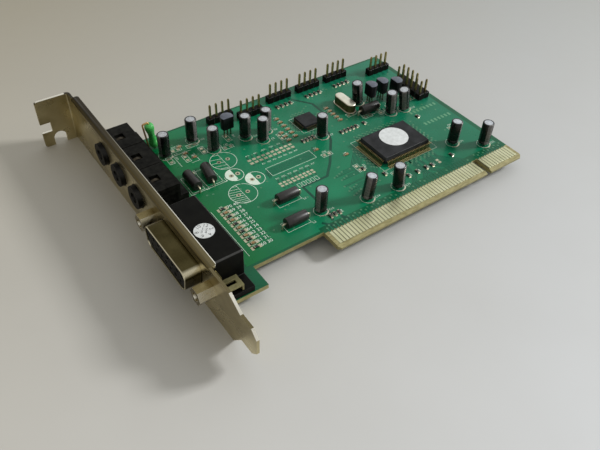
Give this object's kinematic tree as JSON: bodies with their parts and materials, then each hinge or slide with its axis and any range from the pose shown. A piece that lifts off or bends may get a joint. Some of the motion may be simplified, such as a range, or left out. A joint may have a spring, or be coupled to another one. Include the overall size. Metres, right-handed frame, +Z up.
{
  "type": "sound card",
  "caption": "Expansion sound card: green circuit board with edge connector, slotted steel bracket, phone jacks and a D-shaped game port.",
  "frame": {"origin": "middle of the part's box in X and Y, at the height of its lowest point, the bracket's lower edge", "axes": "+X along the edge connector, away from the bracket; +Y from the edge connector to the board's top edge; +Z up from the component side"},
  "size_m": [0.1342, 0.1202, 0.0184],
  "materials": {
    "board": "green solder mask over glass-fibre board",
    "gold": "gold-plated contacts",
    "bracket_steel": "nickel-plated sheet steel",
    "shell_steel": "tinned drawn steel",
    "screw_steel": "plated steel",
    "black_plastic": "satin black moulding",
    "jack_plastic": "satin black moulding",
    "chip_plastic": "fine matt moulding compound",
    "label_paper": "white paper spot",
    "tin": "tinned leads and solder",
    "crystal_steel": "bright drawn can",
    "can_sleeve": "shrunk black sleeve with a bright top",
    "ferrite": "dark sintered ferrite",
    "choke_dip": "green dipped lacquer",
    "resistor_chip": "dark glazed chip",
    "capacitor_chip": "tan fired chip"
  },
  "bodies": {
    "root": {"circuit_board": "board", "edge_fingers": "gold", "bracket": "bracket_steel", "game_port_shell": "shell_steel", "game_port_insulator": "black_plastic", "game_port_body": "black_plastic", "game_port_sticker": "label_paper", "controller_chip": "chip_plastic", "controller_leads": "tin", "controller_sticker": "label_paper", "codec_chip": "chip_plastic", "codec_leads": "tin", "crystal": "crystal_steel", "choke": "choke_dip", "choke_leads": "tin", "bead_leads": "tin", "transistor_legs": "tin", "capacitor_leads": "tin", "pin_header_block": "black_plastic", "header_pins": "gold", "chip_resistors": "resistor_chip", "chip_capacitors": "capacitor_chip", "solder_joints": "tin", "phone_jack_1": "jack_plastic", "phone_jack_2": "jack_plastic", "phone_jack_3": "jack_plastic", "jack_screw_near": "screw_steel", "board_lock_near": "shell_steel", "jack_screw_far": "screw_steel", "board_lock_far": "shell_steel", "capacitor_1": "can_sleeve", "capacitor_2": "can_sleeve", "capacitor_3": "can_sleeve", "capacitor_4": "can_sleeve", "capacitor_5": "can_sleeve", "capacitor_6": "can_sleeve", "capacitor_7": "can_sleeve", "capacitor_8": "can_sleeve", "capacitor_9": "can_sleeve", "capacitor_10": "can_sleeve", "capacitor_11": "can_sleeve", "capacitor_12": "can_sleeve", "capacitor_13": "can_sleeve", "capacitor_14": "can_sleeve", "capacitor_15": "can_sleeve", "ferrite_bead_1": "ferrite", "ferrite_bead_2": "ferrite", "ferrite_bead_3": "ferrite", "ferrite_bead_4": "ferrite", "ferrite_bead_5": "ferrite", "transistor_1": "chip_plastic", "transistor_2": "chip_plastic", "transistor_3": "chip_plastic", "transistor_4": "chip_plastic", "pin_header_1": "black_plastic", "pin_header_2": "black_plastic", "pin_header_3": "black_plastic", "pin_header_4": "black_plastic", "pin_header_5": "black_plastic", "pin_header_6": "black_plastic"}
  },
  "joints": []
}
